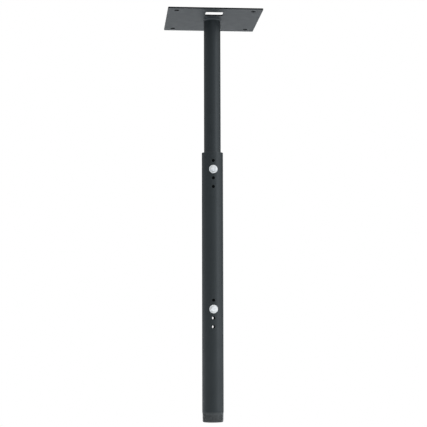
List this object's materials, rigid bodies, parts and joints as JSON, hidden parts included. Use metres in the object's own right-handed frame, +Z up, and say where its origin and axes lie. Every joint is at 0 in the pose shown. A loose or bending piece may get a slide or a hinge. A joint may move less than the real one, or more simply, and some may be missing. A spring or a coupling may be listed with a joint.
{
  "type": "adjustable ceiling column",
  "caption": "Telescoping steel ceiling column: square ceiling plate, inner tube, and a sliding outer pipe with clamp bolts and a tapered pipe thread.",
  "frame": {"origin": "centre of the ceiling plate's top face, which lies against the ceiling", "axes": "+Z up, along the column, out of the ceiling face; -Y is the front, where the clamp bolts are"},
  "size_m": [0.212, 0.212, 0.9176],
  "materials": {
    "powder_coat_plate": "black powder coat, semi-gloss, fine orange peel",
    "powder_coat_tube": "black powder coat, semi-gloss, fine orange peel",
    "powder_coat_pipe": "black powder coat, semi-gloss, fine orange peel",
    "zinc_plating": "bright zinc plating"
  },
  "bodies": {
    "column_top": {"ceiling_plate": "powder_coat_plate", "plate_weld": "powder_coat_plate", "inner_tube": "powder_coat_tube"},
    "outer_column": {"outer_tube": "powder_coat_pipe"},
    "upper_clamp": {"upper_clamp_bolt": "zinc_plating", "upper_jam_nut": "zinc_plating", "upper_washer": "zinc_plating"},
    "lower_clamp": {"lower_clamp_bolt": "zinc_plating", "lower_jam_nut": "zinc_plating", "lower_washer": "zinc_plating"}
  },
  "joints": [
    {"name": "telescope", "type": "slide", "parent": "column_top", "child": "outer_column", "axis": [0, 0, 1], "range_m": [0, 0.2286]},
    {"name": "upper_clamp_out", "type": "slide", "parent": "outer_column", "child": "upper_clamp", "axis": [0, -1, 0], "range_m": [0, 0.03]},
    {"name": "lower_clamp_out", "type": "slide", "parent": "outer_column", "child": "lower_clamp", "axis": [0, -1, 0], "range_m": [0, 0.03]}
  ]
}
